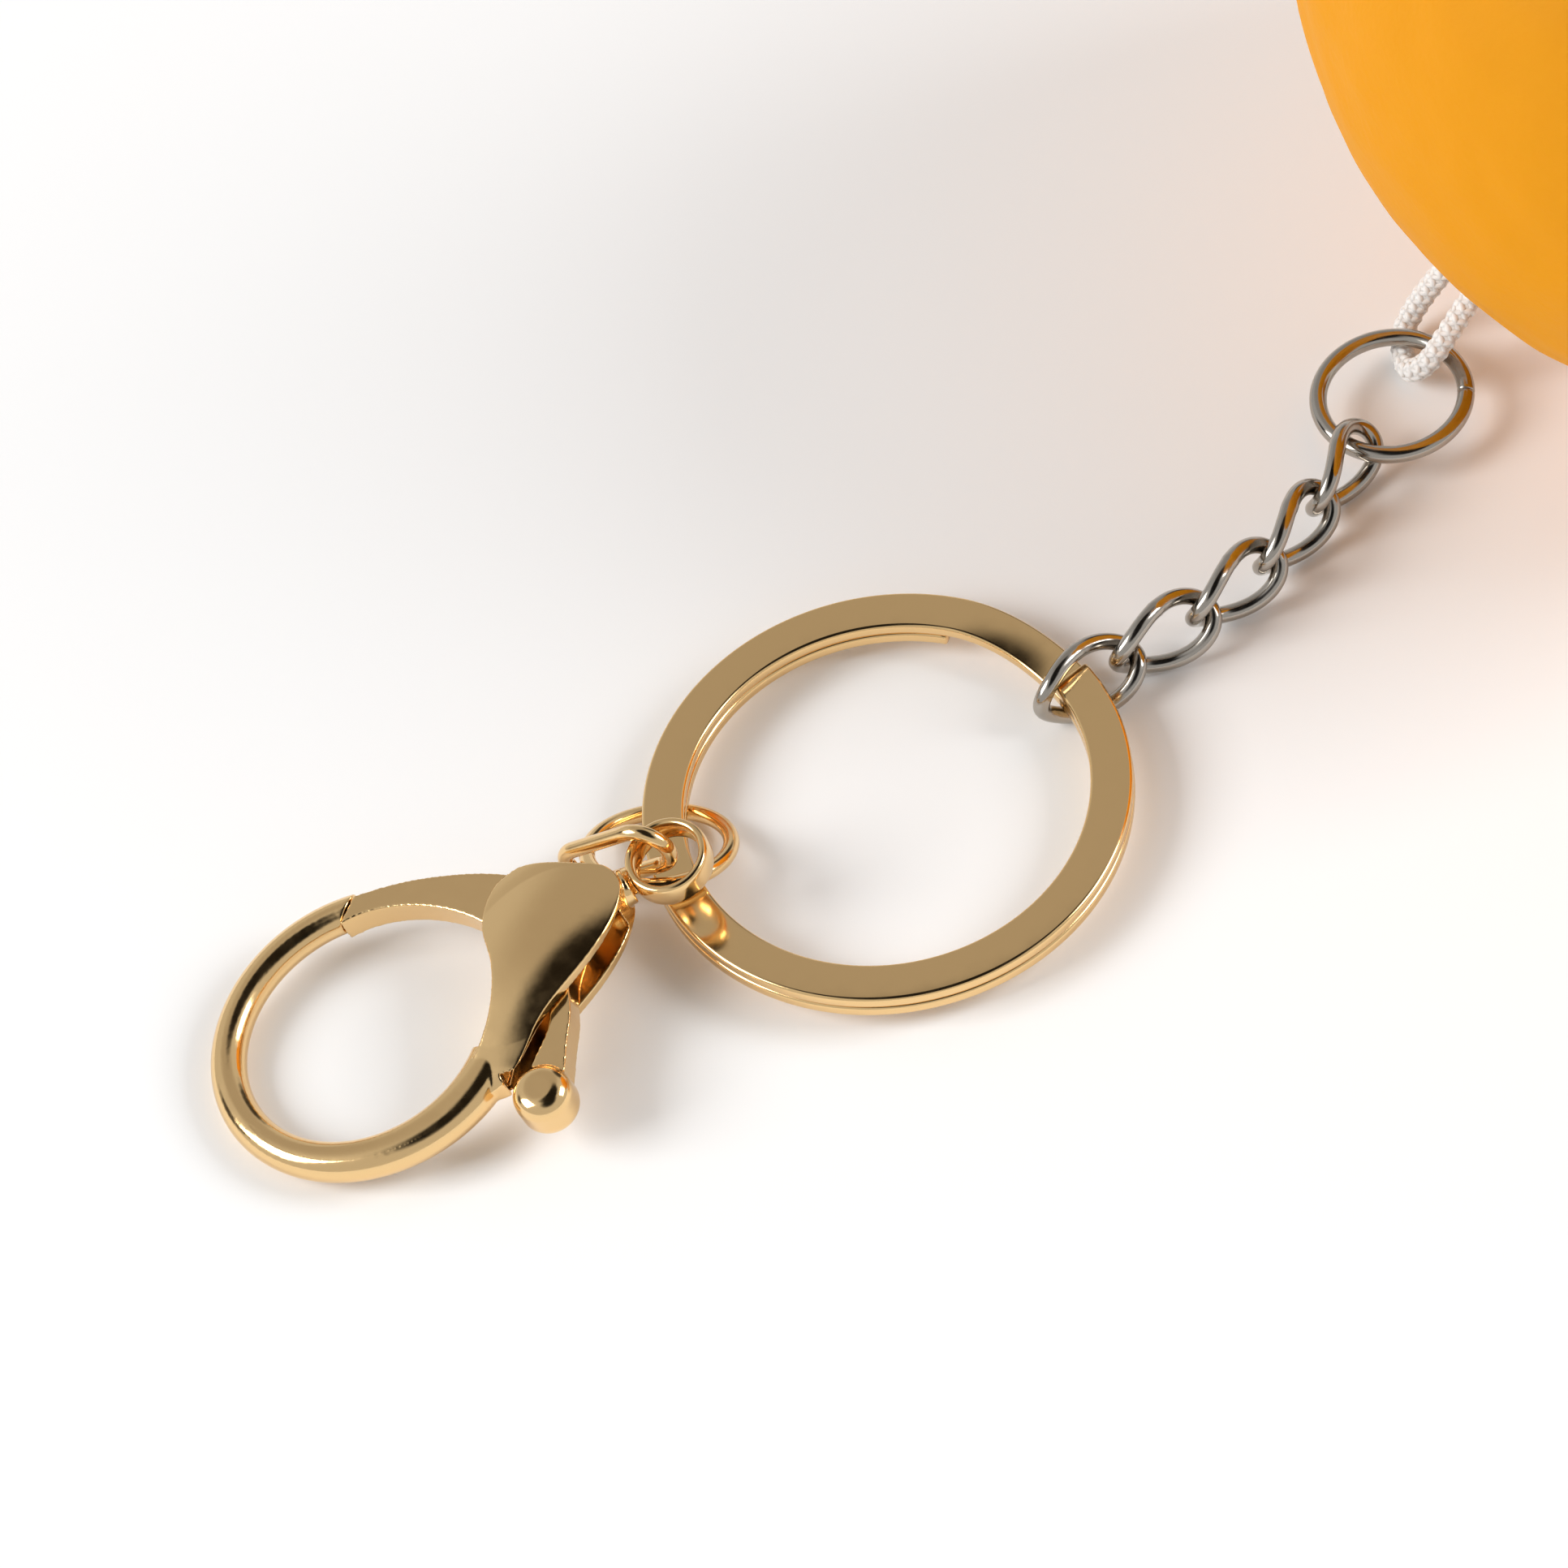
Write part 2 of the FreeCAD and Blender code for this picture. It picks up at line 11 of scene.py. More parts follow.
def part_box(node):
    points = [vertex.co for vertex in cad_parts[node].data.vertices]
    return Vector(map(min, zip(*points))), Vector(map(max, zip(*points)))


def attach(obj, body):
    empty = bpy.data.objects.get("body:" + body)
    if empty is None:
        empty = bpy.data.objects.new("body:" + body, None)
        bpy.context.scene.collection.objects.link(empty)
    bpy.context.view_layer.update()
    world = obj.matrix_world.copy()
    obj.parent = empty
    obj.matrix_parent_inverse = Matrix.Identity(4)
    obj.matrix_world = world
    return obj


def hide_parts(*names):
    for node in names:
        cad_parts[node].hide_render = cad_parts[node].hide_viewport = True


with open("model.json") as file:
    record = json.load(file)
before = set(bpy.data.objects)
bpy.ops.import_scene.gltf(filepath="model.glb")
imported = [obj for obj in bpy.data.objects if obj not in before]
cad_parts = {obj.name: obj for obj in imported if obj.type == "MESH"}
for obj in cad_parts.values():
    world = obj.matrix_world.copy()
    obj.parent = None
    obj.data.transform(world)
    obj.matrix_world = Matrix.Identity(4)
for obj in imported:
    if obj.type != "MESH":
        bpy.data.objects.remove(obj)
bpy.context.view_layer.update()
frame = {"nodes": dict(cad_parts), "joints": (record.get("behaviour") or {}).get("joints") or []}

MM = 0.001
NODES = frame["nodes"]


# ---------------------------------------------------------------- camera

CAMERA_ELEVATION = 54.2
CAMERA_ROLL = 14.2
CAMERA_ANGLE = 12.0
CAMERA_PLACE = (-5.859, -262.381, 370.358)


def make_camera():
    """Long lens from the front, high above the pieces, turned a little about its own axis."""
    rise = math.radians(CAMERA_ELEVATION)
    roll = math.radians(CAMERA_ROLL)
    back = Vector((0, -math.cos(rise), math.sin(rise)))
    level = Vector((1, 0, 0))
    upright = back.cross(level)
    right = level * math.cos(roll) - upright * math.sin(roll)
    up = level * math.sin(roll) + upright * math.cos(roll)
    data = bpy.data.cameras.new("camera")
    data.sensor_fit = "HORIZONTAL"
    data.angle = math.radians(CAMERA_ANGLE)
    data.clip_start = 0.01
    data.clip_end = 10
    camera = bpy.data.objects.new("camera", data)
    bpy.context.scene.collection.objects.link(camera)
    turn = Matrix((right, up, back)).transposed().to_4x4()
    camera.matrix_world = Matrix.Translation(Vector(CAMERA_PLACE) * MM) @ turn
    bpy.context.scene.camera = camera


# ---------------------------------------------------------------- materials


def new_material(name):
    """A node material, its node tree and its Principled shader."""
    material = bpy.data.materials.new(name)
    material.use_nodes = True
    tree = material.node_tree
    shader = tree.nodes["Principled BSDF"]
    return material, tree, shader


def noise_node(tree, scale, detail=3.0, stretch=(1, 1, 1)):
    """Procedural noise in the object's own coordinates."""
    place = tree.nodes.new("ShaderNodeTexCoord")
    mapping = tree.nodes.new("ShaderNodeMapping")
    mapping.inputs["Scale"].default_value = stretch
    texture = tree.nodes.new("ShaderNodeTexNoise")
    texture.inputs["Scale"].default_value = scale
    texture.inputs["Detail"].default_value = detail
    tree.links.new(place.outputs["Object"], mapping.inputs["Vector"])
    tree.links.new(mapping.outputs["Vector"], texture.inputs["Vector"])
    return texture


def vary(tree, texture, socket, low, high, start=0.35, end=0.65):
    """Drive a number socket from a noise texture between two values."""
    spread = tree.nodes.new("ShaderNodeMapRange")
    spread.inputs["From Min"].default_value = start
    spread.inputs["From Max"].default_value = end
    spread.inputs["To Min"].default_value = low
    spread.inputs["To Max"].default_value = high
    tree.links.new(texture.outputs["Fac"], spread.inputs["Value"])
    tree.links.new(spread.outputs["Result"], socket)


def add_bump(tree, shader, texture, distance, strength):
    """Fine surface relief from a noise texture."""
    bump = tree.nodes.new("ShaderNodeBump")
    bump.inputs["Strength"].default_value = strength
    bump.inputs["Distance"].default_value = distance * MM
    tree.links.new(texture.outputs["Fac"], bump.inputs["Height"])
    tree.links.new(bump.outputs["Normal"], shader.inputs["Normal"])


def metal(name, colour, smooth, rough, relief):
    """Polished plated metal with faint wear."""
    material, tree, shader = new_material(name)
    shader.inputs["Base Color"].default_value = (*colour, 1)
    shader.inputs["Metallic"].default_value = 1.0
    vary(tree, noise_node(tree, 900, 6), shader.inputs["Roughness"], smooth, rough)
    add_bump(tree, shader, noise_node(tree, 1400, 2), 0.002, relief)
    return material


def make_materials():
    """Every finish on the keychain."""
    made = {
        "gold": metal("gold", (0.87, 0.60, 0.29), 0.10, 0.17, 0.2),
        "silver": metal("silver", (0.43, 0.395, 0.35), 0.10, 0.22, 0.4),
        "steel": metal("steel", (0.45, 0.45, 0.45), 0.25, 0.35, 0.3),
    }
    material, tree, shader = new_material("cord")
    shader.inputs["Base Color"].default_value = (0.92, 0.89, 0.85, 1)
    shader.inputs["Roughness"].default_value = 0.55
    shader.inputs["Subsurface Weight"].default_value = 0.35
    shader.inputs["Subsurface Radius"].default_value = (0.5, 0.45, 0.4)
    shader.inputs["Subsurface Scale"].default_value = 0.6 * MM
    add_bump(tree, shader, noise_node(tree, 6000, 2), 0.04, 0.4)
    made["cord"] = material
    material, tree, shader = new_material("charm")
    shader.inputs["Base Color"].default_value = (0.76, 0.30, 0.0004, 1)
    shader.inputs["Roughness"].default_value = 0.62
    shader.inputs["Subsurface Weight"].default_value = 0.15
    shader.inputs["Subsurface Radius"].default_value = (1.0, 0.5, 0.1)
    shader.inputs["Subsurface Scale"].default_value = 1.5 * MM
    shader.inputs["Specular IOR Level"].default_value = 0.2
    add_bump(tree, shader, noise_node(tree, 1500, 5), 0.12, 0.35)
    made["charm"] = material
    return made


# ---------------------------------------------------------------- mesh tools


def place_piece(name, mesh, material, body, node=None):
    """Smooth mesh, already in metres, riding on a body and standing for a CAD node."""
    mesh.materials.clear()
    mesh.materials.append(material)
    mesh.polygons.foreach_set("use_smooth", [True] * len(mesh.polygons))
    mesh.update()
    piece = bpy.data.objects.new(name, mesh)
    bpy.context.scene.collection.objects.link(piece)
    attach(piece, body)
    if node:
        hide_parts(node)
    return piece


def mesh_piece(name, points, faces, material, body, node=None):
    """Piece from points in millimetres and faces."""
    mesh = bpy.data.meshes.new(name)
    mesh.from_pydata([point * MM for point in points], [], faces)
    return place_piece(name, mesh, material, body, node)


def tangents(path, closed):
    """Unit direction along a path at each of its points."""
    count = len(path)
    found = []
    for index in range(count):
        after = path[(index + 1) % count] if closed else path[min(index + 1, count - 1)]
        before = path[index - 1] if closed else path[max(index - 1, 0)]
        found.append((after - before).normalized())
    return found


def side_vectors(path, closed):
    """One steady side direction at each point, without sudden twists."""
    along = tangents(path, closed)
    side = along[0].orthogonal().normalized()
    sides = [side]
    for before, after in zip(along, along[1:]):
        side = before.rotation_difference(after) @ side
        sides.append(side.normalized())
    if not closed:
        return along, sides
    last = along[-1].rotation_difference(along[0]) @ sides[-1]
    slip = math.atan2(last.cross(sides[0]).dot(along[0]), last.dot(sides[0]))
    count = len(path)
    for index in range(count):
        turn = Matrix.Rotation(slip * index / count, 3, along[index])
        sides[index] = turn @ sides[index]
    return along, sides


def skin(rings, closed):
    """Quads between rings of equal length, with flat caps on an open strip."""
    size = len(rings[0])
    count = len(rings)
    points = [point for ring in rings for point in ring]
    faces = []
    for ring in range(count if closed else count - 1):
        here = ring * size
        there = (ring + 1) % count * size
        for index in range(size):
            following = (index + 1) % size
            faces.append((here + index, there + index, there + following, here + following))
    if not closed:
        faces.append(tuple(range(size)))
        faces.append(tuple(reversed(range(len(points) - size, len(points)))))
    return points, faces


def tube(path, radius, closed=False, sides_count=20, rounded=False):
    """Round wire along a path. The radius is one number or a function of the share of the way."""
    along, sides = side_vectors(path, closed)
    width = radius if callable(radius) else lambda share: radius
    rings = []
    for index, centre in enumerate(path):
        share = index / max(1, len(path) - 1)
        across = along[index].cross(sides[index])
        ring = []
        for step in range(sides_count):
            turn = 2 * math.pi * step / sides_count
            lean = sides[index] * math.cos(turn) + across * math.sin(turn)
            ring.append(centre + lean * width(share))
        rings.append(ring)
    if rounded and not closed:
        rings = [shrunk(rings[0], path[0], along[0], -1)] + rings
        rings = rings + [shrunk(rings[-1], path[-1], along[-1], 1)]
    return skin(rings, closed)


def shrunk(ring, centre, along, direction):
    """Slightly smaller ring just past a wire's end, so that its edge is broken."""
    reach = (ring[0] - centre).length * 0.16
    return [centre + (point - centre) * 0.84 + along * direction * reach for point in ring]


def arc_points(centre, x_axis, y_axis, radius, start, end, count):
    """Points on an arc in the plane of two unit directions, angles in degrees."""
    found = []
    for step in range(count):
        turn = math.radians(start + (end - start) * step / (count - 1))
        found.append(centre + x_axis * (radius * math.cos(turn)) + y_axis * (radius * math.sin(turn)))
    return found


def heading(degrees, climb=0.0):
    """Unit direction from a heading about +Z and a climb above the floor."""
    turn = math.radians(degrees)
    rise = math.radians(climb)
    return Vector((math.cos(rise) * math.cos(turn), math.cos(rise) * math.sin(turn), math.sin(rise)))


# ---------------------------------------------------------------- places read from the frame


def node_axes(name):
    """A node's middle and its principal directions, longest first, in millimetres, from its faces."""
    mesh = NODES[name].data
    total = 0.0
    middle = Vector((0, 0, 0))
    for face in mesh.polygons:
        middle += face.center * face.area
        total += face.area
    middle /= total
    spread = np.zeros((3, 3))
    for face in mesh.polygons:
        offset = np.array(face.center - middle)
        spread += face.area * np.outer(offset, offset)
    _, columns = np.linalg.eigh(spread)
    long, wide = Vector(columns[:, 2]), Vector(columns[:, 1])
    if long.x < 0:
        long = -long
    return middle / MM, long, wide, long.cross(wide)


def joint_axis(name):
    """A joint's place in millimetres and its direction."""
    joint = next(item for item in frame["joints"] if item["name"] == name)
    return Vector(joint["pos_m"]) / MM, Vector(joint["axis"]).normalized()


# ---------------------------------------------------------------- split ring

RING_OUTER = 15.0
RING_BAND = 2.6
RING_TURN = 0.85
RING_SLIT = 0.06
RING_BASE = 1.36
RAMP_TOP = 60.0
RAMP_FOOT = 24.0


def band_profile():
    """Rounded flat-wire section as (radius, height) pairs from its inner bottom edge."""
    bend = 0.24
    corners = [
        (RING_BAND - bend, bend, -90),
        (RING_BAND - bend, RING_TURN - bend, 0),
        (bend, RING_TURN - bend, 90),
        (bend, bend, 180),
    ]
    found = []
    for across, rise, start in corners:
        for step in range(7):
            turn = math.radians(start + 15 * step)
            found.append((across + bend * math.cos(turn), rise + bend * math.sin(turn)))
    return found


def make_split_ring(material):
    """Flat wire wound twice, stepping from the upper turn to the lower one over a short ramp."""
    high = RING_BASE + RING_TURN + RING_SLIT
    first = 360 + RAMP_FOOT - 1.6
    last = RAMP_TOP + 1.6 - 360
    profile = band_profile()
    steps = 460
    rings = []
    for step in range(-1, steps + 2):
        angle = first + (last - first) * min(max(step, 0), steps) / steps
        share = min(max((RAMP_TOP - angle) / (RAMP_TOP - RAMP_FOOT), 0), 1)
        level = high + (RING_BASE - high) * share * share * (3 - 2 * share)
        tuck = 1.0
        if step < 0 or step > steps:
            tuck = 0.86
            angle += 0.35 if step < 0 else -0.35
        turn = math.radians(angle)
        outward = Vector((math.cos(turn), math.sin(turn), 0))
        ring = []
        for across, rise in profile:
            middle = RING_BAND / 2 + (across - RING_BAND / 2) * (1 - (1 - tuck) * 0.35)
            lift = RING_TURN / 2 + (rise - RING_TURN / 2) * tuck
            ring.append(outward * (RING_OUTER - RING_BAND + middle) + Vector((0, 0, level + lift)))
        rings.append(ring)
    points, faces = skin(rings, False)
    mesh_piece("split_ring_wire", points, faces, material, "ring", "split_ring")


# ---------------------------------------------------------------- wire links

ROUND_RADIUS = 4.4
ROUND_WIRE = 1.0
ROUND_SEAM = 150
JUMP_RADIUS = 4.6
JUMP_WIRE = 1.1
JUMP_SEAM = -15


def make_open_ring(name, node, centre, up, radius, wire, seam_heading, material, body):
    """Round ring bent shut, with a fine seam between its two broken-edged ends."""
    turn = Vector((0, 0, 1)).rotation_difference(up).to_matrix()
    gap = math.degrees(0.1 / radius)
    x_axis = turn @ Vector((1, 0, 0))
    y_axis = turn @ Vector((0, 1, 0))
    path = arc_points(centre, x_axis, y_axis, radius, seam_heading + gap, seam_heading + 360 - gap, 180)
    points, faces = tube(path, wire / 2, sides_count=24, rounded=True)
    mesh_piece(name, points, faces, material, body, node)


OVAL_LENGTH = 9.1
OVAL_WIDTH = 4.3
OVAL_WIRE = 1.0


def make_oval_link(material):
    """Gold oval link of round wire."""
    centre, along, wide, _ = node_axes("gold_oval_link")
    half = (OVAL_LENGTH - OVAL_WIDTH) / 2
    radius = (OVAL_WIDTH - OVAL_WIRE) / 2
    path = arc_points(centre + along * half, along, wide, radius, -90, 90, 40)
    path += [centre + along * (half - half * 2 * step / 20) + wide * radius for step in range(1, 20)]
    path += arc_points(centre - along * half, along, wide, radius, 90, 270, 40)
    path += [centre + along * (half * 2 * step / 20 - half) - wide * radius for step in range(1, 20)]
    points, faces = tube(path, OVAL_WIRE / 2, closed=True, sides_count=24)
    mesh_piece("gold_oval_wire", points, faces, material, "oval_link", "gold_oval_link")


CURB_LENGTH = 7.8
CURB_WIDTH = 5.05
CURB_WIRE = 1.05
CURB_TWIST = -38.0


def make_chain_link(number, material):
    """Twisted link with a slightly rough joint where its wire was closed."""
    centre, along, across, up = node_axes(f"chain_link_{number}")
    reach = (CURB_LENGTH - CURB_WIRE) / 2
    spread = (CURB_WIDTH - CURB_WIRE) / 2
    count = 144
    path = []
    for step in range(count):
        angle = 2 * math.pi * step / count
        lean = math.radians(CURB_TWIST) * math.cos(angle)
        side = spread * math.sin(angle)
        offset = along * (reach * math.cos(angle)) + across * (side * math.cos(lean))
        path.append(centre + offset + up * (side * math.sin(lean)))

    def width(share):
        joint = math.exp(-((share - 0.25) / 0.012) ** 2)
        ripple = noise.noise(Vector((share * 60, number * 3.1, 0.5)))
        return CURB_WIRE / 2 * (1 + joint * (0.035 + 0.05 * ripple) + 0.006 * ripple)

    points, faces = tube(path, width, closed=True, sides_count=22)
    name = f"chain_wire_{number}"
    mesh_piece(name, points, faces, material, f"link_{number}", f"chain_link_{number}")


# ---------------------------------------------------------------- clasp

EYE_RADIUS = 2.325
EYE_HALF_WALL = 0.325
EYE_HALF_HEIGHT = 0.9


def make_swivel_eye(material):
    """Eye with softly rounded edges, its stem and the stem's upset head."""
    eye, along = joint_axis("clasp_swivel")
    up = joint_axis("gate_hinge")[1]
    across = up.cross(along)
    rings = []
    count = 96
    for step in range(count):
        turn = 2 * math.pi * step / count
        outward = along * math.cos(turn) + across * math.sin(turn)
        ring = []
        for part in range(24):
            angle = 2 * math.pi * part / 24
            wide = math.copysign(abs(math.cos(angle)) ** 0.75, math.cos(angle))
            tall = math.copysign(abs(math.sin(angle)) ** 0.6, math.sin(angle))
            outwards = EYE_RADIUS + EYE_HALF_WALL * wide
            ring.append(eye + outward * outwards + up * (EYE_HALF_HEIGHT * tall))
        rings.append(ring)
    points, faces = skin(rings, True)
    mesh_piece("swivel_eye_ring", points, faces, material, "eye", "swivel_eye")
    stem = [eye + along * reach for reach in (2.45, 2.6, 3.0, 3.6, 4.1, 4.15, 4.2, 4.6, 4.95, 5.0)]
    sizes = (0.9, 0.72, 0.65, 0.65, 0.65, 0.7, 0.98, 1.0, 0.95, 0.7)
    points, faces = tube(stem, lambda share: sizes[round(share * (len(sizes) - 1))], sides_count=24)
    mesh_piece("swivel_eye_stem", points, faces, material, "eye")


def clasp_frame():
    """Clasp axes at its pivot: X from the eye to the hook, Z along the pin."""
    pivot, up = joint_axis("gate_hinge")
    along = joint_axis("clasp_swivel")[1]
    across = up.cross(along).normalized()
    turn = Matrix((along, across, up)).transposed().to_4x4()
    return Matrix.Translation(pivot * MM) @ turn


def even_mesh(name, rounds):
    """A node's solid as an even skin of small faces, with its edges softened."""
    holder = bpy.data.objects.new("holder", NODES[name].data.copy())
    bpy.context.scene.collection.objects.link(holder)
    remesh = holder.modifiers.new("even_skin", "REMESH")
    remesh.mode = "VOXEL"
    remesh.voxel_size = CASTING_VOXEL * MM
    remesh.use_smooth_shade = True
    soften = holder.modifiers.new("soft_edges", "SMOOTH")
    soften.factor = 0.5
    soften.iterations = rounds
    graph = bpy.context.evaluated_depsgraph_get()
    mesh = bpy.data.meshes.new_from_object(holder.evaluated_get(graph))
    bpy.data.objects.remove(holder)
    return mesh


def make_casting(name, node, body, material, rounds, crown):
    """Cast piece with soft edges. The crown lifts its flat faces into a shallow dome."""
    mesh = even_mesh(node, rounds)
    place = clasp_frame()
    back = place.inverted()
    for vertex in mesh.vertices:
        local = back @ vertex.co / MM
        vertex.co = place @ (crown(local) * MM)
    place_piece(name, mesh, material, body, node)


CASTING_VOXEL = 0.07
CHEEK_REACH = 9.6
CHEEK_SPREAD = 6.6
CHEEK_TURN = 26.0
CHEEK_FROM_PIVOT = Vector((1.3, 1.2, 0))
SLOT_HALF = 1.05


def crown_cheeks(local):
    """Cheeks fall away in a steady curve from their middle to their rims. The slot stays flat."""
    height = abs(local.z)
    if height < SLOT_HALF + 0.1:
        return local
    offset = local - CHEEK_FROM_PIVOT
    turn = math.radians(-CHEEK_TURN)
    reach = offset.x * math.cos(turn) - offset.y * math.sin(turn)
    spread = offset.x * math.sin(turn) + offset.y * math.cos(turn)
    away = (reach / CHEEK_REACH) ** 2 + (spread / (CHEEK_SPREAD * 0.8)) ** 2
    fall = 0.5 * min(away, 1.4)
    lifted = SLOT_HALF + (height - SLOT_HALF) * (1 - fall * min(1, (height - SLOT_HALF) / 0.6))
    return Vector((local.x, local.y, math.copysign(lifted, local.z)))


def leave_flat(local):
    """Lever faces stay as they are."""
    return local


def dress_plain(name, material):
    """CAD solid whose shape is right, shown as it is with a detailed finish."""
    materials = NODES[name].data.materials
    materials.clear()
    materials.append(material)


# ---------------------------------------------------------------- cord and charm

CORD_RISE = heading(12.5, 61.0)
CORD_MOUTH = Vector((44.6, 25.5, 8.4))
CORD_HALF_SPREAD = 1.25
CORD_DEPTH = 12.0
CORD_ROUTE = [(38.8, 27.1, 0.85), (38.1, 23.1, 0.95), (39.2, 21.7, 2.7), (40.7, 22.1, 4.5)]
BRAID_PITCH = 3.2
BRAID_STRANDS = 8
BRAID_RADIUS = 0.54
BRAID_DEPTH = 0.04
STRAND_RADIUS = 0.21
CORE_RADIUS = 0.62
KNOT_CORD_RADIUS = 0.72


def cord_line():
    """Smooth line of the cord: out of the charm, under the jump ring, back over it and in again."""
    across = CORD_RISE.cross(Vector((0, 0, 1))).normalized() * CORD_HALF_SPREAD
    depth = CORD_RISE * CORD_DEPTH
    left = CORD_MOUTH - across
    right = CORD_MOUTH + across
    route = [left + depth, left] + [Vector(point) for point in CORD_ROUTE] + [right, right + depth]
    curve = bpy.data.curves.new("cord_line", "CURVE")
    curve.dimensions = "3D"
    curve.resolution_u = 40
    spline = curve.splines.new("NURBS")
    spline.points.add(len(route) - 1)
    for control, place in zip(spline.points, route):
        control.co = (*(place * MM), 1)
    spline.order_u = 3
    spline.use_endpoint_u = True
    holder = bpy.data.objects.new("cord_line", curve)
    line = bpy.data.meshes.new_from_object(holder)
    points = [vertex.co / MM for vertex in line.vertices]
    bpy.data.objects.remove(holder)
    bpy.data.meshes.remove(line)
    bpy.data.curves.remove(curve)
    return points


def make_cord(material):
    """Round braid: strands that pass over and under each other round a core."""
    path = cord_line()
    along, sides = side_vectors(path, False)
    lengths = [0.0]
    for before, after in zip(path, path[1:]):
        lengths.append(lengths[-1] + (after - before).length)
    points, faces = tube(path, CORE_RADIUS, sides_count=12)
    for strand in range(BRAID_STRANDS):
        way = 1 if strand % 2 else -1
        start = strand * math.pi / 4
        line = []
        for index, centre in enumerate(path):
            turn = start + way * lengths[index] * 2 * math.pi / BRAID_PITCH
            weave = BRAID_RADIUS + BRAID_DEPTH * math.cos(4 * turn + strand * math.pi)
            across = along[index].cross(sides[index])
            line.append(centre + (sides[index] * math.cos(turn) + across * math.sin(turn)) * weave)
        more_points, more_faces = tube(line, STRAND_RADIUS, sides_count=8)
        shift = len(points)
        points += more_points
        faces += [tuple(index + shift for index in face) for face in more_faces]
    mesh_piece("cord_braid", points, faces, material, "charm", "cord_loop")


def make_knot(material):
    """Knot in the cord's ends, inside the charm: a trefoil of cord, where the CAD has the knot."""
    low, high = (Vector(corner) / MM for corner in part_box("cord_knot"))
    reach = ((high - low).x / 2 - KNOT_CORD_RADIUS) / 3
    path = []
    count = 120
    for step in range(count):
        turn = 2 * math.pi * step / count
        across = math.sin(turn) + 2 * math.sin(2 * turn)
        ahead = math.cos(turn) - 2 * math.cos(2 * turn)
        path.append((low + high) / 2 + Vector((across, ahead, -1.5 * math.sin(3 * turn))) * reach)
    points, faces = tube(path, KNOT_CORD_RADIUS, closed=True)
    mesh_piece("cord_tie", points, faces, material, "charm", "cord_knot")


def ball_place():
    """Middle and radius of the charm, in millimetres. Its foot is flat, so its top gives the middle."""
    low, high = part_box("charm_ball")
    radius = (high[0] - low[0]) / 2 / MM
    across = (low[0] + high[0]) / 2 / MM
    ahead = (low[1] + high[1]) / 2 / MM
    return Vector((across, ahead, high[2] / MM - radius)), radius


BALL_CENTRE, BALL_RADIUS = ball_place()


LUMP_HEIGHT = 0.14
DIMPLE_DEPTH = 0.9
DIMPLE_WIDTH = 4.5


def soft_point(direction):
    """Point on the soft ball: faint lumps, a flat foot and a dimple round the cord."""
    broad = noise.noise(direction * 2.3)
    fine = noise.noise(direction * 9.0 + Vector((3, 1, 7)))
    lump = broad * LUMP_HEIGHT + fine * LUMP_HEIGHT
    mouth = (CORD_MOUTH + CORD_RISE - BALL_CENTRE).normalized()
    near = direction.angle(mouth) * BALL_RADIUS
    dimple = -DIMPLE_DEPTH * math.exp(-((near / DIMPLE_WIDTH) ** 2))
    point = BALL_CENTRE + direction * (BALL_RADIUS - 0.15 + lump + dimple)
    point.z = max(point.z, 0.02)
    return point


def make_charm(material):
    """Soft round charm."""
    rows = 200
    columns = 320
    points = [soft_point(Vector((0, 0, 1)))]
    for row in range(1, rows):
        polar = math.pi * row / rows
        for column in range(columns):
            turn = 2 * math.pi * column / columns
            flat = math.sin(polar)
            outward = Vector((flat * math.cos(turn), flat * math.sin(turn), math.cos(polar)))
            points.append(soft_point(outward))
    points.append(soft_point(Vector((0, 0, -1))))
    last = len(points) - 1
    faces = []
    for column in range(columns):
        following = (column + 1) % columns
        faces.append((0, 1 + column, 1 + following))
        foot = 1 + (rows - 2) * columns
        faces.append((last, foot + following, foot + column))
        for row in range(rows - 2):
            here = 1 + row * columns
            there = here + columns
            faces.append((here + column, there + column, there + following, here + following))
    ball = mesh_piece("charm_skin", points, faces, material, "charm", "charm_ball")


# ---------------------------------------------------------------- floor and light


def make_floor():
    """Plain pale floor under the keychain."""
    material, _, shader = new_material("floor")
    shader.inputs["Base Color"].default_value = (0.98, 0.98, 0.98, 1)
    shader.inputs["Roughness"].default_value = 0.85
    shader.inputs["Specular IOR Level"].default_value = 0.1
    mesh = bpy.data.meshes.new("floor")
    half = 3.0
    corners = [(-half, -half, 0), (half, -half, 0), (half, half, 0), (-half, half, 0)]
    mesh.from_pydata(corners, [], [(0, 1, 2, 3)])
    mesh.materials.append(material)
    floor = bpy.data.objects.new("floor", mesh)
    bpy.context.scene.collection.objects.link(floor)


def add_lobe(tree, direction, width, previous, colour):
    """Blend a soft-edged patch of light or dark into the surroundings, about one direction."""
    place = tree.nodes["Texture Coordinate"]
    dot = tree.nodes.new("ShaderNodeVectorMath")
    dot.operation = "DOT_PRODUCT"
    dot.inputs[1].default_value = Vector(direction).normalized()
    tree.links.new(place.outputs["Generated"], dot.inputs[0])
    spread = tree.nodes.new("ShaderNodeMapRange")
    spread.interpolation_type = "SMOOTHSTEP"
    spread.inputs["From Min"].default_value = math.cos(math.radians(width[1]))
    spread.inputs["From Max"].default_value = math.cos(math.radians(width[0]))
    tree.links.new(dot.outputs["Value"], spread.inputs["Value"])
    mix = tree.nodes.new("ShaderNodeMix")
    mix.data_type = "RGBA"
    tree.links.new(spread.outputs["Result"], mix.inputs[0])
    if isinstance(previous, tuple):
        mix.inputs[6].default_value = previous
    else:
        tree.links.new(previous, mix.inputs[6])
    mix.inputs[7].default_value = colour
    return mix.outputs[2]


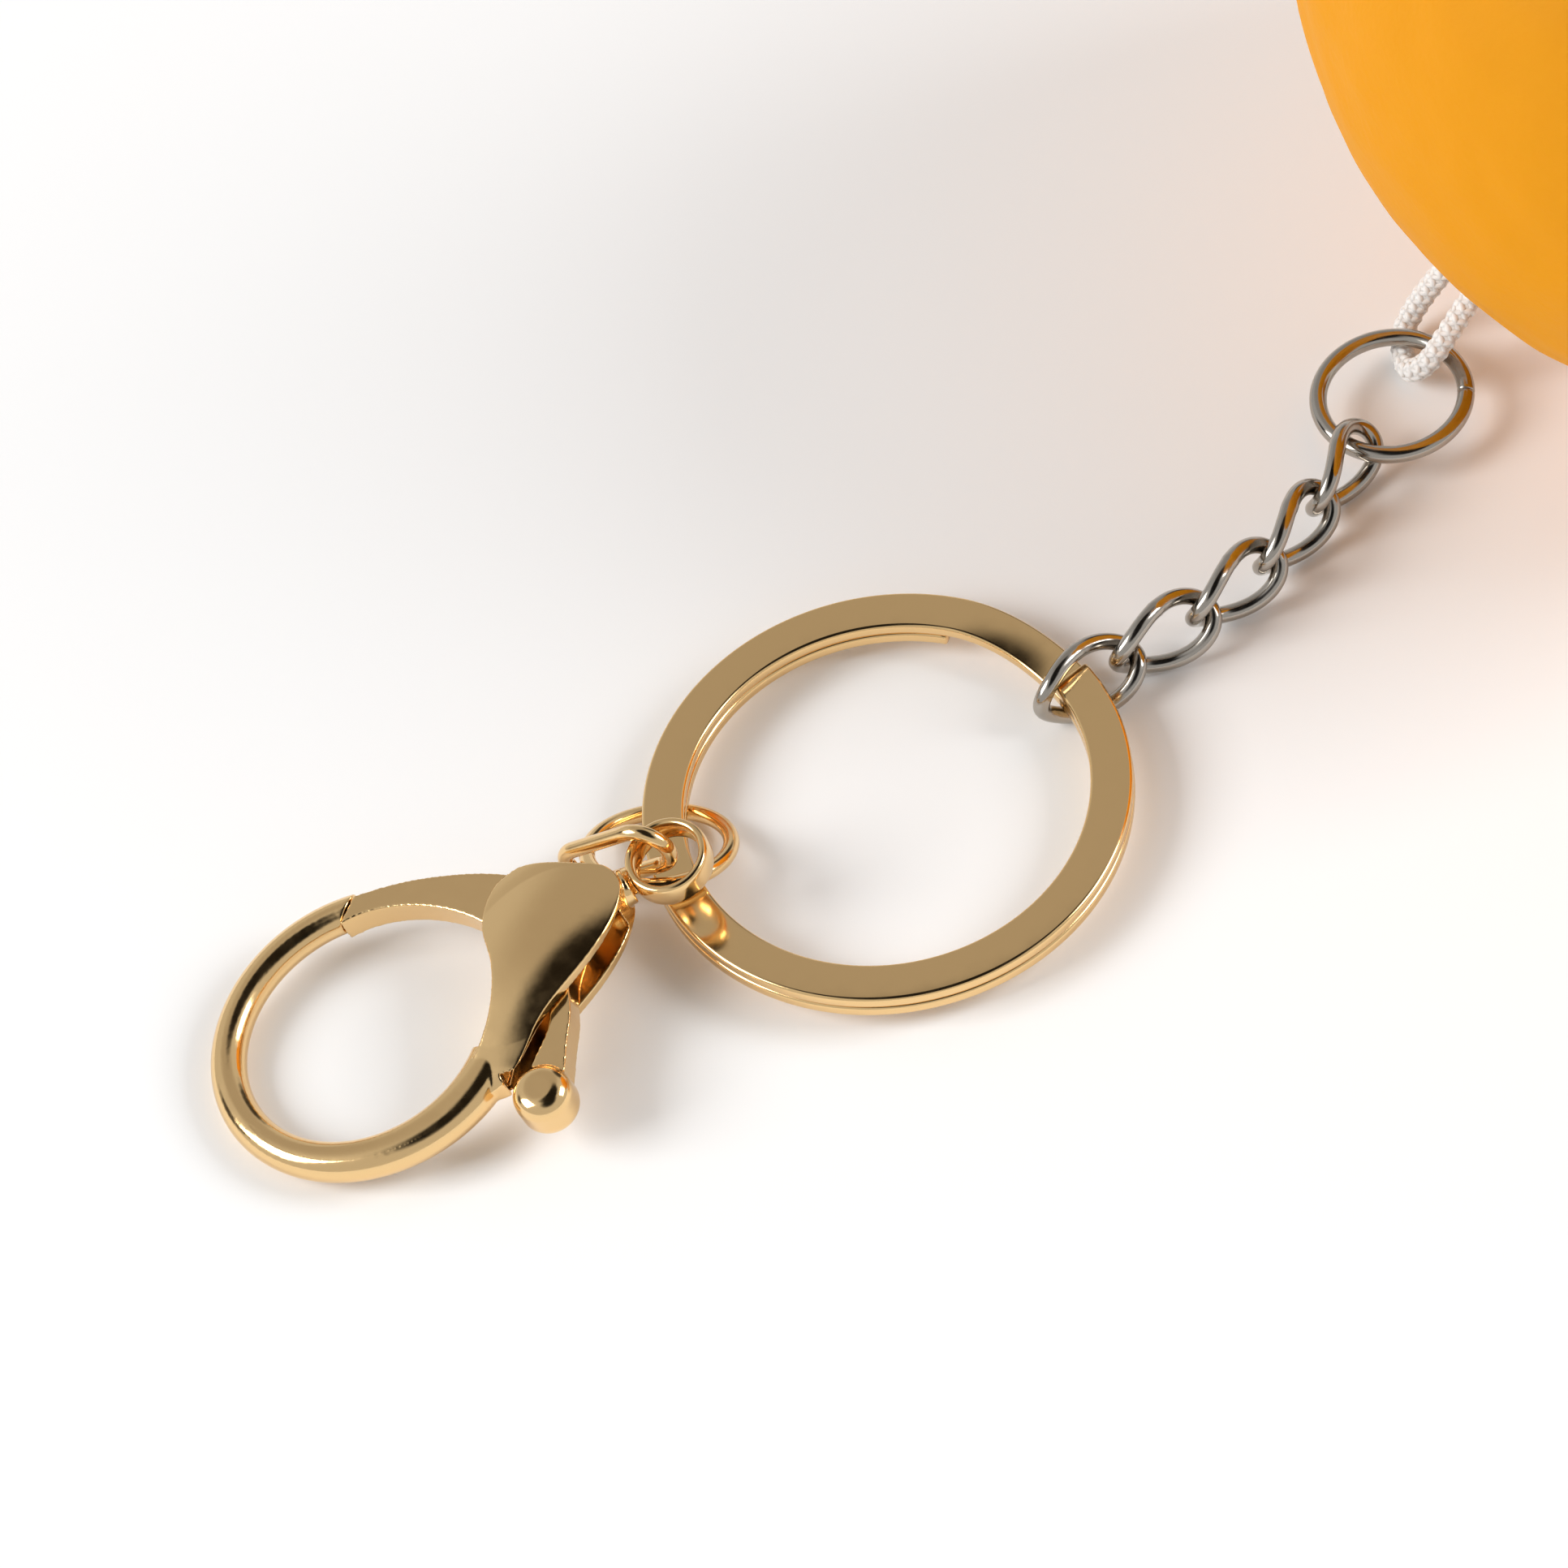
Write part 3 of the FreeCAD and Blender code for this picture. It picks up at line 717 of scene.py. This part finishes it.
def make_surroundings():
    """White tent with a dark opening behind the camera and darker panels between the lamps."""
    world = bpy.data.worlds.new("studio")
    bpy.context.scene.world = world
    world.use_nodes = True
    tree = world.node_tree
    place = tree.nodes.new("ShaderNodeTexCoord")
    place.name = "Texture Coordinate"
    tent = (0.62, 0.62, 0.62, 1)
    shade = add_lobe(tree, (0.0, 0.62, 0.78), (16, 36), tent, (0.46, 0.44, 0.42, 1))
    shade = add_lobe(tree, (0.05, -0.45, 0.85), (16, 30), shade, (0.012, 0.012, 0.012, 1))
    shade = add_lobe(tree, (0.06, -0.02, 1.0), (20, 30), shade, (0.015, 0.013, 0.011, 1))
    shade = add_lobe(tree, (0.5, 0.75, 0.3), (8, 18), shade, (0.05, 0.045, 0.04, 1))
    shade = add_lobe(tree, (-0.9, 0.3, 0.25), (6, 14), shade, (0.06, 0.055, 0.05, 1))
    tree.links.new(shade, tree.nodes["Background"].inputs["Color"])
    tree.nodes["Background"].inputs["Strength"].default_value = 1.0


def make_lamp(name, place, target, size, power):
    """Square soft lamp aimed at a point."""
    data = bpy.data.lights.new(name, "AREA")
    data.shape = "SQUARE"
    data.size = size
    data.energy = power
    lamp = bpy.data.objects.new(name, data)
    bpy.context.scene.collection.objects.link(lamp)
    lamp.location = place
    aim = Vector(target) - Vector(place)
    lamp.rotation_euler = aim.to_track_quat("-Z", "Y").to_euler()


# ---------------------------------------------------------------- build

make_camera()
finish = make_materials()
make_split_ring(finish["gold"])
loop_place, _, _, loop_up = node_axes("gold_round_link")
make_open_ring(
    "gold_round_wire", "gold_round_link", loop_place, loop_up, ROUND_RADIUS, ROUND_WIRE, ROUND_SEAM,
    finish["gold"], "round_link",
)
make_oval_link(finish["gold"])
make_swivel_eye(finish["gold"])
make_casting("clasp_casting", "clasp_body", "clasp", finish["gold"], 9, crown_cheeks)
make_casting("gate_casting", "gate_lever", "gate", finish["gold"], 5, leave_flat)
dress_plain("gate_pin", finish["gold"])
dress_plain("gate_spring", finish["steel"])
for index in range(1, 6):
    make_chain_link(index, finish["silver"])
jump_place = node_axes("jump_ring")[0]
make_open_ring(
    "jump_wire", "jump_ring", jump_place, Vector((0, 0, 1)), JUMP_RADIUS, JUMP_WIRE, JUMP_SEAM,
    finish["silver"], "jump",
)
make_cord(finish["cord"])
make_knot(finish["cord"])
make_charm(finish["charm"])

make_floor()
make_surroundings()
make_lamp("key_lamp", (-0.95, 0.0, 0.7), (0, 0, 0), 0.6, 9.5)
make_lamp("fill_lamp", (0.85, -0.1, 0.6), (0.02, 0.01, 0), 0.45, 5.0)
bpy.context.scene.view_settings.view_transform = "Standard"
